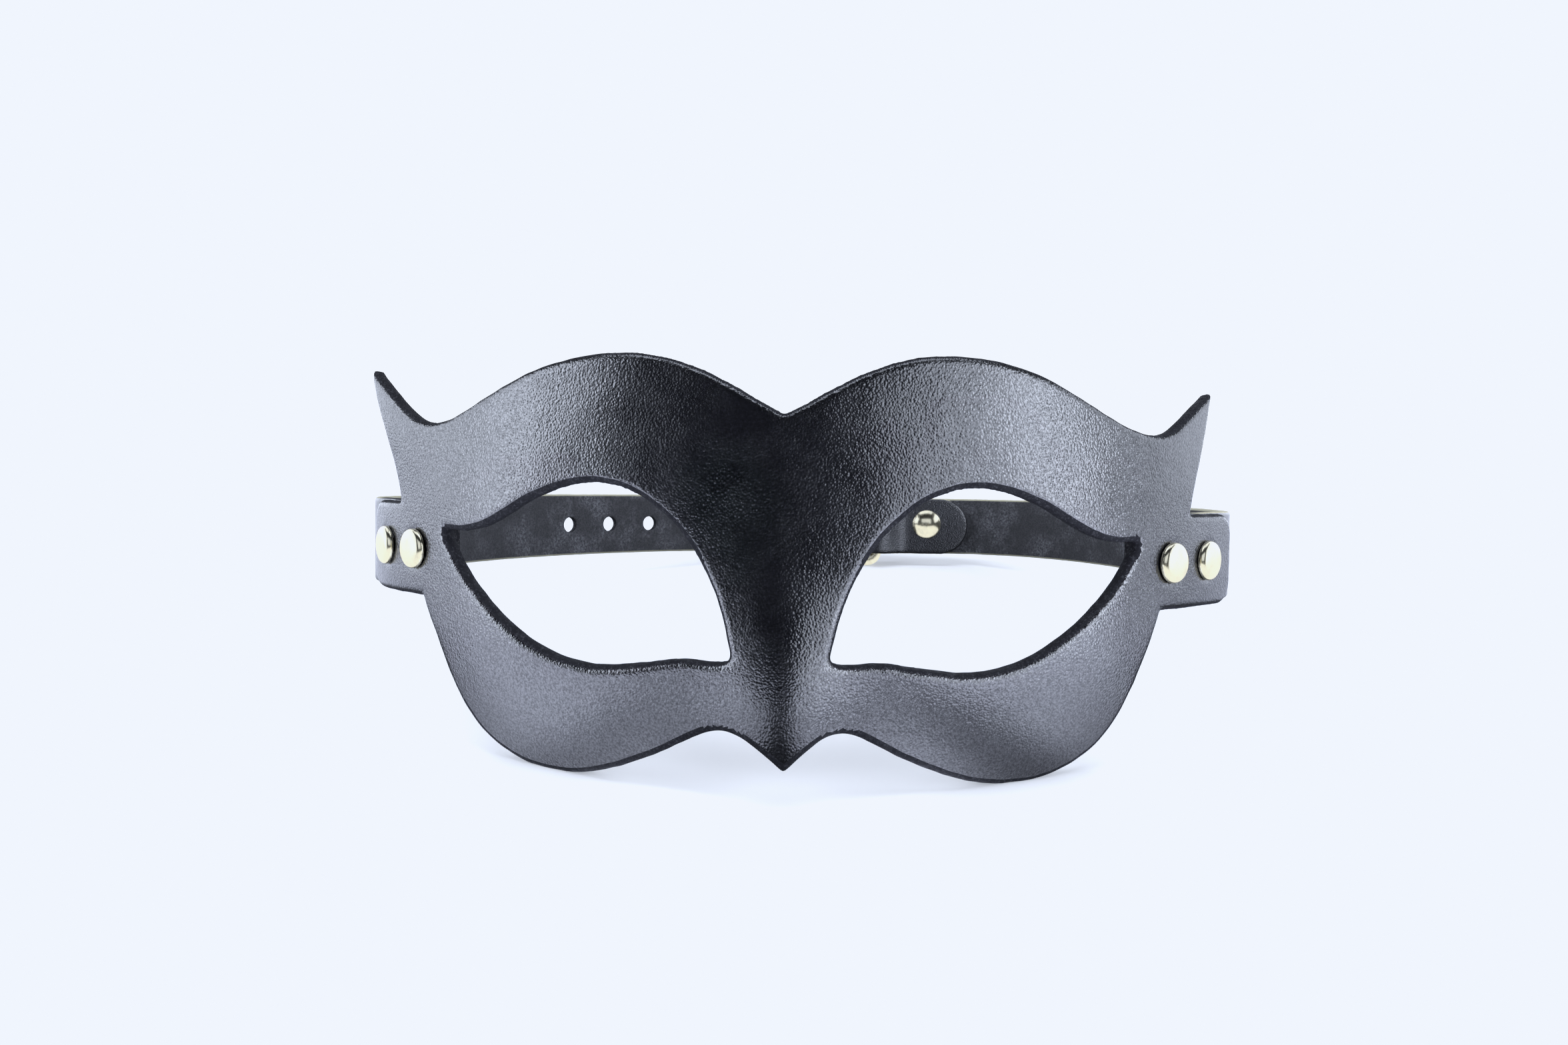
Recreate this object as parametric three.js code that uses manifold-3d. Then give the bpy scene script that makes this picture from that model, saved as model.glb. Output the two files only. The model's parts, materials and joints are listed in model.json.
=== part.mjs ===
// Black leather eye mask, wet-formed in one piece, on a riveted and buckled leather strap.
// Millimetres. +X is the wearer's left, which is the right side seen from the front, -Y is forward, +Z is up.
// The mask leans back and stands on its two cheek lobes and on the buckle at the back of the strap.
import * as THREE from "three";
import { mergeVertices } from "three/addons/utils/BufferGeometryUtils.js";
import Module from "manifold-3d";

const wasm = await Module();
wasm.setup();

// Driving dimensions
const formRadius = 123.5;       // plan radius of the formed face
const faceHalf = 97.5;          // arc length from the centre line to an ear tip
const browRise = 37.2;          // strap line up to the top of a brow
const lobeDrop = 41.7;          // strap line down to the bottom of a cheek lobe
const faceThick = 2.8;
const noseRise = 7;             // how far the nose tip stands out of the face
const noseHalf = 11.5;          // distance from the middle over which the nose ridge falls away
const browSet = 1.3;            // how far the brow tops are set back from the cylinder of the face
const lobeSet = 6.7;            // and the bottoms of the cheek lobes
const eyeAcross = 40;           // centre of an eye hole, arc length from the centre line
const eyeUp = -2.6;             // and height from the strap line
const eyeLength = 61.6;
const eyeHeight = 33.6;
const tabReach = 104.5;         // arc length from the centre line to the end of a tab
const tabHalf = 9.25;           // half the height of a tab
const tabCorner = 4.5;
const earFoot = 87.3;           // arc length where the tab's top edge meets the ear
const cheekTop = 78.2;          // and where its bottom edge meets the cheek
const strapWide = 19;
const strapThick = 2.4;
const strapStart = 73;          // arc length where a strap begins behind its tab
const strapDepth = 179;         // forehead to the middle of the strap at the back
const strapHalfSpan = 101;      // half the widest span of the loop
const rivetSpacing = 13;
const rivetInset = 10.5;        // end of a tab to its outer rivet
const rivetCap = 8;
const rivetPost = 3;
const foldCap = 9;
const capRise = 2.1;
const buckleRight = 25.5;       // middle plane of the mask to the bar that carries the folded strap
const buckleLength = 18;        // bar to bar
const barWide = 3.2;
const barThick = 3;
const frameEdge = 4;            // how far the frame stands past the strap's edge
const prongThick = 2.6;
const holeWide = 4.8;
const holePitch = 15;
const holeCount = 8;
const prongHoleLong = 10.5;     // the used hole is pulled into an oval
const foldRivetBack = 17;       // bar to the rivet that holds the fold
const foldBack = 31;            // bar to the rounded end of the fold
const tongue = 20;              // prong hole to the rounded end of the holed strap
const gap = 0.3;                // clearance between pieces that lie on each other
const lobeFlat = 0.8;           // depth of the flat on each lobe where the mask stands
const frameFlat = 0.2;          // and on the buckle's lower side
const leftEarOut = 3.5;         // how far each ear is bent out of the round face by hand
const rightEarOut = -0.5;
const leftEarUp = 1.2;          // how much higher than the table each ear tip is cut
const rightEarUp = -1.4;
const tabShift = 1.2;           // the right tab is this much longer and the left this much shorter
const leftCheekIn = 0.9;        // how much narrower the left cheek is cut
const leftBrowUp = 0.8;         // how much higher the left brow is cut on its way to the ear
const leftTabIn = 1.6;          // how far the end of the left tab is bent in
const noseShift = 0.9;          // nose tip to the right of the middle
const noseUp = 0.8;             // and above its row of the table

// Worked out from them
const strapEdge = strapWide / 2;
const strapInset = faceThick + gap + strapThick / 2;
const frameHalf = strapWide / 2 + frameEdge + 0.5;
const foldRadius = barWide / 2 + 2 * gap + strapThick / 2;
const barN = -foldRadius;
const layerStep = strapThick + gap;

const leather = { color: 0x17171a, roughness: 0.45, metalness: 0 };
const brass = { color: 0xd9cfa6, roughness: 0.25, metalness: 1 };

// Outline of one half, from the brow notch round the ear to the nose tip. Across is a share of faceHalf,
// up a share of browRise, or of lobeDrop where it is below zero, and faces the point of the eye table opposite.
const brow = [
  { across: 0.0, up: 0.705, faces: 4.6 },
  { across: 0.043, up: 0.763, faces: 5.2 },
  { across: 0.092, up: 0.836, faces: 5.9 },
  { across: 0.149, up: 0.909, faces: 6.5 },
  { across: 0.205, up: 0.96, faces: 7.1 },
  { across: 0.262, up: 0.992, faces: 7.7 },
  { across: 0.318, up: 1.0, faces: 8.2 },
  { across: 0.38, up: 0.991, faces: 8.7 },
  { across: 0.441, up: 0.962, faces: 9.3 },
  { across: 0.503, up: 0.914, faces: 9.9 },
  { across: 0.564, up: 0.845, faces: 10.5 },
  { across: 0.626, up: 0.771, faces: 11.0 },
  { across: 0.682, up: 0.71, faces: 11.5 },
  { across: 0.733, up: 0.674, faces: 12.0 },
  { across: 0.779, up: 0.666, faces: 12.5 },
  { across: 0.826, up: 0.694, faces: 12.9 },
  { across: 0.877, up: 0.766, faces: 13.2 },
  { across: 0.938, up: 0.868, faces: 13.5 },
  { across: 1.0, up: 0.957, faces: 13.7 },
];
const earSide = [
  { across: 0.974, up: 0.793, faces: 13.85 },
  { across: 0.941, up: 0.591, faces: 14.0 },
  { across: 0.913, up: 0.403, faces: 14.25 },
];
const cheek = [
  { across: 0.782, up: -0.336, faces: 16.8 },
  { across: 0.759, up: -0.468, faces: 17.2 },
  { across: 0.736, up: -0.6, faces: 17.6 },
  { across: 0.708, up: -0.739, faces: 18.0 },
  { across: 0.669, up: -0.854, faces: 18.4 },
  { across: 0.615, up: -0.935, faces: 18.8 },
  { across: 0.549, up: -0.986, faces: 19.2 },
  { across: 0.482, up: -1.0, faces: 19.7 },
  { across: 0.421, up: -0.99, faces: 20.3 },
  { across: 0.359, up: -0.957, faces: 20.9 },
  { across: 0.297, up: -0.906, faces: 21.4 },
  { across: 0.236, up: -0.844, faces: 21.9 },
  { across: 0.179, up: -0.772, faces: 22.5 },
  { across: 0.138, up: -0.724, faces: 23.1 },
  { across: 0.109, up: -0.71, faces: 23.7 },
  { across: 0.078, up: -0.727, faces: 24.3 },
  { across: 0.041, up: -0.791, faces: 24.8 },
  { across: 0.0, up: -0.878, faces: 25.0 },
];
// Middle line from the nose tip up to the notch, the same way
const middle = [
  { up: -0.743, faces: 0.25 },
  { up: -0.612, faces: 0.5 },
  { up: -0.48, faces: 0.9 },
  { up: -0.336, faces: 1.4 },
  { up: -0.192, faces: 1.9 },
  { up: -0.048, faces: 2.5 },
  { up: 0.108, faces: 3.1 },
  { up: 0.282, faces: 3.6 },
  { up: 0.457, faces: 4.0 },
  { up: 0.591, faces: 4.3 },
];
// Eye hole from its inner corner over the top, along a share of eyeLength and up a share of eyeHeight,
// both from the middle of the hole.
const eye = [
  { along: -0.5, up: -0.417 },
  { along: -0.494, up: -0.28 },
  { along: -0.468, up: -0.11 },
  { along: -0.425, up: 0.06 },
  { along: -0.37, up: 0.214 },
  { along: -0.304, up: 0.336 },
  { along: -0.224, up: 0.435 },
  { along: -0.138, up: 0.488 },
  { along: -0.057, up: 0.497 },
  { along: 0.032, up: 0.467 },
  { along: 0.13, up: 0.405 },
  { along: 0.227, up: 0.315 },
  { along: 0.325, up: 0.238 },
  { along: 0.422, up: 0.205 },
  { along: 0.5, up: 0.205 },
  { along: 0.474, up: 0.095 },
  { along: 0.406, up: -0.054 },
  { along: 0.317, up: -0.196 },
  { along: 0.219, up: -0.324 },
  { along: 0.114, up: -0.426 },
  { along: 0.008, up: -0.485 },
  { along: -0.097, up: -0.503 },
  { along: -0.227, up: -0.476 },
  { along: -0.357, up: -0.438 },
  { along: -0.446, up: -0.438 },
];
// Loop of the strap in plan, from a tab round to the buckle: side is a share of strapHalfSpan and
// back a share of strapDepth.
const rightLoop = [
  { side: 0.95, back: 0.302 },
  { side: 0.985, back: 0.369 },
  { side: 1.0, back: 0.48 },
  { side: 0.995, back: 0.603 },
  { side: 0.95, back: 0.743 },
  { side: 0.861, back: 0.866 },
  { side: 0.733, back: 0.955 },
  { side: 0.594, back: 1.0 },
];
const leftLoop = [
  { side: -0.94, back: 0.302 },
  { side: -0.97, back: 0.352 },
  { side: -0.975, back: 0.436 },
  { side: -0.941, back: 0.542 },
  { side: -0.871, back: 0.654 },
  { side: -0.752, back: 0.763 },
  { side: -0.594, back: 0.858 },
  { side: -0.416, back: 0.933 },
  { side: -0.218, back: 0.983 },
];

// Smooth step from 0 to 1
function ease(t) {
  const c = Math.min(1, Math.max(0, t));
  return c * c * (3 - 2 * c);
}

// Share of an ear tip's own bend and cut that a point takes, by its arc length from the middle
function earShare(across, v) {
  return ease((across / faceHalf - 0.7) / 0.3) * ease((v - tabHalf) / (browRise - tabHalf));
}

// How far a point at an arc length is bent in with the left tab
function tabBend(u) {
  const bendFrom = cheekTop;
  return leftTabIn * (Math.max(0, -u - bendFrom) / (tabReach - bendFrom)) ** 2;
}

// Point of the face's outer surface: u is the arc length from the middle, positive to the right, and v the
// height from the strap line
function faceForm(u, v) {
  const turn = u / formRadius;
  const above = Math.max(0, v - strapEdge) / (browRise - strapEdge);
  const below = Math.max(0, -v - strapEdge) / (lobeDrop - strapEdge);
  const back = browSet * above * above + lobeSet * below * below;
  const down = ease((browRise * 0.35 - v) / (browRise * 0.35 + lobeDrop));
  const ridge = Math.exp(-((u / noseHalf) ** 2)) * noseRise * down;
  const flare = earShare(Math.abs(u), v) * (u > 0 ? rightEarOut : leftEarOut);
  const radius = formRadius - back + ridge + flare - tabBend(u);
  return new THREE.Vector3(radius * Math.sin(turn), formRadius - radius * Math.cos(turn), v);
}

// The same point moved inwards by a depth along the surface's own normal
function faceInside(u, v, depth) {
  const step = 0.05;
  const along = faceForm(u + step, v).sub(faceForm(u - step, v));
  const up = faceForm(u, v + step).sub(faceForm(u, v - step));
  const inward = up.cross(along).normalize();
  return faceForm(u, v).addScaledVector(inward, depth);
}

function rowPoint(row) {
  const rise = row.up < 0 ? lobeDrop : browRise;
  return { u: (row.across ?? 0) * faceHalf, v: row.up * rise, faces: row.faces };
}

// The same rim point on one side as it was cut by hand, with u positive to the right
function handCut(side, row) {
  const { u, v } = row;
  const lift = earShare(u, v) * (side > 0 ? rightEarUp : leftEarUp);
  const longer = v > tabHalf ? 0 : ease((u - earFoot) / (tabReach - earFoot)) * side * tabShift;
  const cheekSide = ease((u / faceHalf - 0.45) / 0.25) * ease((-v - tabHalf) / tabHalf);
  const narrower = side > 0 ? 0 : cheekSide * leftCheekIn;
  const browSide = side > 0 || v < 0 ? 0 : Math.exp(-(((u / faceHalf - 0.62) / 0.13) ** 2)) * leftBrowUp;
  const tip = Math.exp(-((u / noseHalf) ** 2)) * ease((-v / lobeDrop - 0.5) / 0.35);
  return { u: side * (u + longer - narrower) + tip * noseShift, v: v + lift + browSide + tip * noseUp };
}

// Tab outline from the ear's foot round its end to the top of the cheek
function tabRows() {
  const rows = [{ u: earFoot, v: tabHalf }, { u: (earFoot + tabReach - tabCorner) / 2, v: tabHalf }];
  for (const [side, from] of [[1, Math.PI / 2], [-1, 0]]) {
    for (let k = 0; k <= 4; k++) {
      const turn = from - (k * Math.PI) / 8;
      rows.push({
        u: tabReach - tabCorner + tabCorner * Math.cos(turn),
        v: side * (tabHalf - tabCorner) + tabCorner * Math.sin(turn),
      });
    }
  }
  for (const share of [0.33, 0.67, 1]) {
    rows.push({ u: tabReach - tabCorner + share * (cheekTop - tabReach + tabCorner), v: -tabHalf });
  }
  const first = 14.5;
  const last = 16.3;
  rows.forEach((row, k) => {
    row.faces = first + ((last - first) * k) / (rows.length - 1);
  });
  return rows;
}

const eyeCurve = new THREE.CatmullRomCurve3(
  eye.map((p) => new THREE.Vector3(eyeAcross + p.along * eyeLength, eyeUp + p.up * eyeHeight, 0)),
  true,
  "centripetal",
);

// Closed solid from a list of triangles given as points
function solidGeometry(triangles) {
  const flat = [];
  for (const p of triangles) {
    flat.push(p.x, p.y, p.z);
  }
  const geometry = new THREE.BufferGeometry();
  geometry.setAttribute("position", new THREE.Float32BufferAttribute(flat, 3));
  return geometry;
}

function quad(list, a, b, c, d) {
  list.push(a, b, c, a, c, d);
}

// Mesh of the whole face: rings from each eye hole out to the rim, on the outer and the inner surface
function faceGeometry() {
  const rim = [...brow, ...earSide].map(rowPoint).concat(tabRows(), cheek.map(rowPoint));
  const rows = rim.concat(middle.map(rowPoint));
  const rings = 6;
  const triangles = [];
  for (const side of [1, -1]) {
    const grid = rows.map((row) => {
      const inner = eyeCurve.getPoint((row.faces % eye.length) / eye.length);
      const outer = handCut(side, row);
      const line = [];
      for (let k = 0; k <= rings; k++) {
        const t = k / rings;
        const u = side * inner.x + (outer.u - side * inner.x) * t;
        const v = inner.y + (outer.v - inner.y) * t;
        line.push([0, faceThick].map((depth) => faceInside(u, v, depth)));
      }
      return line;
    });
    const wind = (a, b, c, d) => (side > 0 ? quad(triangles, a, b, c, d) : quad(triangles, d, c, b, a));
    grid.forEach((line, i) => {
      const next = grid[(i + 1) % grid.length];
      for (let k = 0; k < rings; k++) {
        wind(line[k][0], next[k][0], next[k + 1][0], line[k + 1][0]);
        wind(line[k + 1][1], next[k + 1][1], next[k][1], line[k][1]);
      }
      wind(line[0][1], next[0][1], next[0][0], line[0][0]);
      if (i < rim.length - 1) {
        wind(line[rings][0], next[rings][0], next[rings][1], line[rings][1]);
      }
    });
  }
  return solidGeometry(triangles);
}

// Strap swept along a plan route of {x, y} points: each point may narrow the band for a rounded end
function bandGeometry(route) {
  const triangles = [];
  const rows = route.map((p, i) => {
    const before = route[Math.max(0, i - 1)];
    const after = route[Math.min(route.length - 1, i + 1)];
    const heading = new THREE.Vector2(after.x - before.x, after.y - before.y).normalize();
    const corners = [];
    for (const [side, up] of [[1, -1], [1, 1], [-1, 1], [-1, -1]]) {
      corners.push(new THREE.Vector3(
        p.x + (side * heading.y * strapThick) / 2,
        p.y - (side * heading.x * strapThick) / 2,
        up * p.half,
      ));
    }
    return corners;
  });
  for (let i = 0; i < rows.length - 1; i++) {
    for (let k = 0; k < 4; k++) {
      const n = (k + 1) % 4;
      quad(triangles, rows[i][k], rows[i + 1][k], rows[i + 1][n], rows[i][n]);
    }
  }
  const first = rows[0];
  const last = rows[rows.length - 1];
  quad(triangles, first[0], first[1], first[2], first[3]);
  quad(triangles, last[3], last[2], last[1], last[0]);
  return solidGeometry(triangles);
}

// Even points along a smooth curve through plan points, all at full width
function smoothRoute(points, steps) {
  const curve = new THREE.CatmullRomCurve3(points.map((p) => new THREE.Vector3(p.x, p.y, 0)), false, "centripetal");
  return curve.getSpacedPoints(steps).map((p) => ({ x: p.x, y: p.y, half: strapWide / 2 }));
}

// Route with its last stretch narrowed to a round end
function roundEnd(route) {
  const end = route[route.length - 1];
  const radius = strapWide / 2;
  const kept = route.filter((p) => Math.hypot(p.x - end.x, p.y - end.y) > radius);
  const from = kept[kept.length - 1];
  for (const turn of [0, 15, 30, 45, 60, 73, 84]) {
    const t = Math.sin(THREE.MathUtils.degToRad(turn));
    kept.push({
      x: end.x + ((from.x - end.x) * (1 - t) * radius) / Math.hypot(from.x - end.x, from.y - end.y),
      y: end.y + ((from.y - end.y) * (1 - t) * radius) / Math.hypot(from.x - end.x, from.y - end.y),
      half: radius * Math.cos(THREE.MathUtils.degToRad(turn)),
    });
  }
  return kept;
}

// Strap's stretch behind a tab, just inside the face
function tabArc(side) {
  const points = [];
  const steps = 6;
  for (let k = 0; k <= steps; k++) {
    const u = strapStart + ((tabReach - strapStart) * k) / steps;
    points.push(faceInside(side * u, 0, strapInset));
  }
  return points;
}

function loopPoints(table) {
  return table.map((row) => ({ x: row.side * strapHalfSpan, y: row.back * strapDepth }));
}

// Plan point at the buckle: s runs along the strap away from the carrying bar, n stands outwards
function atBuckle(s, n) {
  return { x: buckleRight - s, y: strapDepth + n };
}

// Right strap: from its tab round to the buckle, round the bar and back on the inside
function foldedRoute() {
  const straight = loopPoints(rightLoop);
  const lead = smoothRoute([...tabArc(1), ...straight], 52);
  const turn = [];
  for (let k = 0; k <= 8; k++) {
    const angle = Math.PI / 2 - (k * Math.PI) / 8;
    turn.push(atBuckle(foldRadius * Math.cos(angle), barN + foldRadius * Math.sin(angle)));
  }
  const back = [];
  const settle = 10;
  for (let k = 1; k <= 6; k++) {
    const t = k / 6;
    back.push(atBuckle(-settle * t, 2 * barN + (-layerStep - 2 * barN) * ease(t)));
  }
  back.push(atBuckle(-(settle + foldBack) / 2, -layerStep), atBuckle(-foldBack, -layerStep));
  const full = (p) => ({ ...p, half: strapWide / 2 });
  return roundEnd([...lead, full(atBuckle(-foldRivetBack, 0)), ...turn.map(full), ...back.map(full)]);
}

// Left strap: from its tab to the buckle, under the far bar, over the prong and the fold, to a rounded end
const farBarN = 0;
const prongHoleS = 0.47 * buckleLength;
function holedRoute() {
  const under = farBarN - barThick / 2 - 2 * gap - strapThick / 2;
  const over = layerStep + gap;
  const passes = [
    atBuckle(buckleLength + 14, 0),
    atBuckle(buckleLength + 7, under * 0.55),
    atBuckle(buckleLength + 1, under),
    atBuckle(buckleLength * 0.83, under * 0.85),
    atBuckle(prongHoleS, (under + over) / 2),
    atBuckle(buckleLength * 0.22, over * 0.8),
    atBuckle(0, over),
    atBuckle(-6, over),
    atBuckle(prongHoleS - tongue, over),
  ];
  return roundEnd(smoothRoute([...tabArc(-1), ...loopPoints(leftLoop), ...passes], 84));
}

// Solids for cutting and joining
function toSolid(geometry) {
  const bare = geometry.clone();
  bare.deleteAttribute("normal");
  bare.deleteAttribute("uv");
  const merged = mergeVertices(bare, 1e-4);
  const vertProperties = new Float32Array(merged.attributes.position.array);
  const triVerts = new Uint32Array(merged.index.array);
  return new wasm.Manifold(new wasm.Mesh({ numProp: 3, vertProperties, triVerts }));
}

function toGeometry(solid) {
  const mesh = solid.getMesh();
  const geometry = new THREE.BufferGeometry();
  geometry.setAttribute("position", new THREE.BufferAttribute(new Float32Array(mesh.vertProperties), 3));
  geometry.setIndex(new THREE.BufferAttribute(new Uint32Array(mesh.triVerts), 1));
  return geometry;
}

// Matrix whose Y axis is a plan direction, standing at a plan point on the strap line
function standing(x, y, outX, outY) {
  const out = new THREE.Vector3(outX, outY, 0).normalize();
  const up = new THREE.Vector3(0, 0, 1);
  const side = new THREE.Vector3().crossVectors(out, up);
  return new THREE.Matrix4().makeBasis(side, out, up).setPosition(x, y, 0);
}

function cutHoles(solid, places, wide, long = wide) {
  let result = solid;
  for (const place of places) {
    const cutter = new THREE.CylinderGeometry(wide / 2, wide / 2, 3 * (faceThick + strapThick), 20);
    cutter.scale(long / wide, 1, 1);
    cutter.applyMatrix4(place);
    result = result.subtract(toSolid(cutter));
  }
  return result;
}

// Rivet places, on the face's outer surface with Y outwards
function tabRivetPlaces(side) {
  return [0, 1].map((k) => {
    const u = side * (tabReach - rivetInset - k * rivetSpacing);
    const at = faceForm(u, 0);
    const out = faceForm(u, 0).sub(faceInside(u, 0, 1));
    return standing(at.x, at.y, out.x, out.y);
  });
}

const foldPlace = standing(buckleRight + foldRivetBack, strapDepth - layerStep - strapThick / 2, 0, -1);

// Rivet with a domed cap in front, a post, and a flatter cap behind a stack of a given thickness
function rivetGeometry(cap, stack) {
  const half = cap / 2;
  const post = rivetPost / 2;
  const low = -stack - gap;
  const points = [new THREE.Vector2(0, low - capRise * 0.6)];
  points.push(new THREE.Vector2(half * 0.7, low - capRise * 0.5), new THREE.Vector2(half, low - capRise * 0.15));
  points.push(new THREE.Vector2(half, low), new THREE.Vector2(post, low), new THREE.Vector2(post, gap));
  points.push(new THREE.Vector2(half, gap));
  for (const turn of [12, 35, 60]) {
    const angle = THREE.MathUtils.degToRad(turn);
    points.push(new THREE.Vector2(half * Math.cos(angle) ** 0.6, gap + capRise * Math.sin(angle)));
  }
  points.push(new THREE.Vector2(0, gap + capRise));
  return new THREE.LatheGeometry(points, 24);
}

// Point on a route at a length before its end, with the outward direction there
function routePlace(route, lengthFromEnd) {
  let left = lengthFromEnd;
  for (let i = route.length - 1; i > 0; i--) {
    const a = route[i];
    const b = route[i - 1];
    const span = Math.hypot(a.x - b.x, a.y - b.y);
    if (left <= span) {
      const t = left / span;
      const outX = (a.y - b.y) / span;
      const outY = (b.x - a.x) / span;
      return standing(a.x + (b.x - a.x) * t, a.y + (b.y - a.y) * t, outX, outY);
    }
    left -= span;
  }
  return null;
}

// Buckle: bevelled frame tilted between its two bars, with the prong joined on
function buckleGeometry() {
  const bevel = 0.8;
  const half = barWide / 2;
  const outline = new THREE.Shape();
  const box = (shape, x0, x1, y, r) => {
    shape.moveTo(x0 + r, -y);
    shape.lineTo(x1 - r, -y);
    shape.absarc(x1 - r, -y + r, r, -Math.PI / 2, 0, false);
    shape.lineTo(x1, y - r);
    shape.absarc(x1 - r, y - r, r, 0, Math.PI / 2, false);
    shape.lineTo(x0 + r, y);
    shape.absarc(x0 + r, y - r, r, Math.PI / 2, Math.PI, false);
    shape.lineTo(x0, -y + r);
    shape.absarc(x0 + r, -y + r, r, Math.PI, Math.PI * 1.5, false);
  };
  box(outline, -half + bevel, buckleLength + half - bevel, frameHalf - bevel, 3);
  const opening = new THREE.Path();
  box(opening, half - bevel, buckleLength - half + bevel, strapWide / 2 + 0.5 + bevel, 1);
  outline.holes.push(opening);
  const frame = new THREE.ExtrudeGeometry(outline, {
    depth: barThick - 2 * bevel,
    bevelThickness: bevel,
    bevelSize: bevel,
    bevelSegments: 1,
    curveSegments: 5,
  });
  frame.translate(0, 0, -barThick / 2 + bevel);
  const tilt = Math.atan2(farBarN - barN, buckleLength);
  const toStrap = new THREE.Matrix4().makeBasis(
    new THREE.Vector3(-Math.cos(tilt), Math.sin(tilt), 0),
    new THREE.Vector3(0, 0, 1),
    new THREE.Vector3(Math.sin(tilt), Math.cos(tilt), 0),
  ).setPosition(buckleRight, strapDepth + barN, 0);
  frame.applyMatrix4(toStrap);
  const radius = prongThick / 2;
  const from = atBuckle(0, barN + 0.8);
  const to = atBuckle(buckleLength + half / 2, farBarN + barThick / 2 + radius - 0.4);
  const section = new THREE.Shape();
  section.absarc(0, 0, radius, 0, Math.PI * 2, false);
  const prong = new THREE.ExtrudeGeometry(section, {
    steps: 6,
    curveSegments: 5,
    extrudePath: new THREE.LineCurve3(new THREE.Vector3(from.x, from.y, 0), new THREE.Vector3(to.x, to.y, 0)),
  });
  return toSolid(frame).add(toSolid(prong));
}

// Lean that brings both the lobes and the buckle to the floor, and the plane they are cut flat on
const lobeU = 0.482 * faceHalf;
const lobeBack = faceInside(lobeU, -lobeDrop, faceThick / 2).y;
const lobeFoot = lobeDrop - lobeFlat;
const lean = Math.atan2(lobeFoot - frameHalf + frameFlat, strapDepth + barN / 2 - lobeBack);
const floorDrop = lobeFoot * Math.cos(lean) + lobeBack * Math.sin(lean);

// Everything below the floor, in the leaning frame
function belowFloor() {
  const depth = 40;
  const slab = new THREE.BoxGeometry(400, 600, depth);
  slab.translate(0, 0, -floorDrop - depth / 2);
  slab.rotateX(lean);
  return toSolid(slab);
}

function named(name, geometry, look) {
  const mesh = new THREE.Mesh(geometry, new THREE.MeshStandardMaterial(look));
  mesh.name = name;
  return mesh;
}

const mask = new THREE.Group();
const floor = belowFloor();
const rivetPlaces = { left: tabRivetPlaces(-1), right: tabRivetPlaces(1) };
const postHole = rivetPost + 2 * gap;

const face = cutHoles(toSolid(faceGeometry()), [...rivetPlaces.left, ...rivetPlaces.right], postHole);
mask.add(named("mask_face", toGeometry(face.subtract(floor)), leather));

const holed = holedRoute();
let holedStrap = cutHoles(toSolid(bandGeometry(holed)), rivetPlaces.left, postHole);
const hole = (k) => routePlace(holed, tongue + k * holePitch);
holedStrap = cutHoles(holedStrap, [hole(0)], holeWide, prongHoleLong);
for (let k = 1; k < holeCount; k++) {
  holedStrap = cutHoles(holedStrap, [hole(k)], holeWide);
}
mask.add(named("strap_holed", toGeometry(holedStrap), leather));

const folded = toSolid(bandGeometry(foldedRoute()));
const slot = new THREE.BoxGeometry(11, foldRadius + 4, prongThick + 4 * gap);
slot.translate(buckleRight - 0.5, strapDepth - foldRadius / 2 + 0.2, 0);
const foldedStrap = cutHoles(folded, [...rivetPlaces.right, foldPlace], postHole).subtract(toSolid(slot));
mask.add(named("strap_folded", toGeometry(foldedStrap), leather));

mask.add(named("buckle", toGeometry(buckleGeometry().subtract(floor)), brass));

const tabStack = faceThick + gap + strapThick;
for (const side of ["left", "right"]) {
  rivetPlaces[side].forEach((place, k) => {
    const rivet = named(`rivet_${side}_${k === 0 ? "outer" : "inner"}`, rivetGeometry(rivetCap, tabStack), brass);
    rivet.applyMatrix4(place);
    mask.add(rivet);
  });
}
const foldRivet = named("rivet_fold", rivetGeometry(foldCap, layerStep + strapThick), brass);
foldRivet.applyMatrix4(foldPlace);
mask.add(foldRivet);

mask.rotation.x = -lean;
mask.position.z = floorDrop;

// The origin is the middle of the footprint
const assembly = new THREE.Group();
assembly.add(mask);
const middlePoint = new THREE.Box3().setFromObject(assembly, true).getCenter(new THREE.Vector3());
mask.position.x = -middlePoint.x;
mask.position.y = -middlePoint.y;
export default assembly;
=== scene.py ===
# Black leather eye mask on a riveted and buckled strap: detailed pieces, materials, lights and camera
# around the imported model. Shapes are worked out in millimetres in the mask's own frame, where the mask
# stands upright, and leant back into the row frame in metres at the end.
import json
import math

import bmesh
import bpy
import numpy as np
from mathutils import Matrix, Vector, kdtree, noise
from mathutils.geometry import delaunay_2d_cdt

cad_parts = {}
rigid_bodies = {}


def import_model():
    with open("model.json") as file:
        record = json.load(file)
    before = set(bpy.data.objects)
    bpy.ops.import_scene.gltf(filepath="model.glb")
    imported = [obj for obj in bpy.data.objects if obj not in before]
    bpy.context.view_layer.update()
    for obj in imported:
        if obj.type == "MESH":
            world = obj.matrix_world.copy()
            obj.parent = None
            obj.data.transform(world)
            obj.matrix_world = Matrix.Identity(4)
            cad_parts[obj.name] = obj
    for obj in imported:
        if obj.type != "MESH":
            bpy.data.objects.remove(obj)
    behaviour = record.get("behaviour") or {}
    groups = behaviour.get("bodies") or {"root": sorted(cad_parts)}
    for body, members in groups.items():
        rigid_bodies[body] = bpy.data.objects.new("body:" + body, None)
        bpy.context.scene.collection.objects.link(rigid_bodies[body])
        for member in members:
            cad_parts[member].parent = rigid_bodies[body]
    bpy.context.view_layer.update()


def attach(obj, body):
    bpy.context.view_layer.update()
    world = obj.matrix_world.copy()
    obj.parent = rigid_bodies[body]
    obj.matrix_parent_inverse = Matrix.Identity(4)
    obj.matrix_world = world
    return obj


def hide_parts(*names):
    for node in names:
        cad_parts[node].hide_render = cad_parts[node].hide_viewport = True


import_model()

# Sizes of the CAD source, in millimetres
FORM_RADIUS = 123.5
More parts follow.
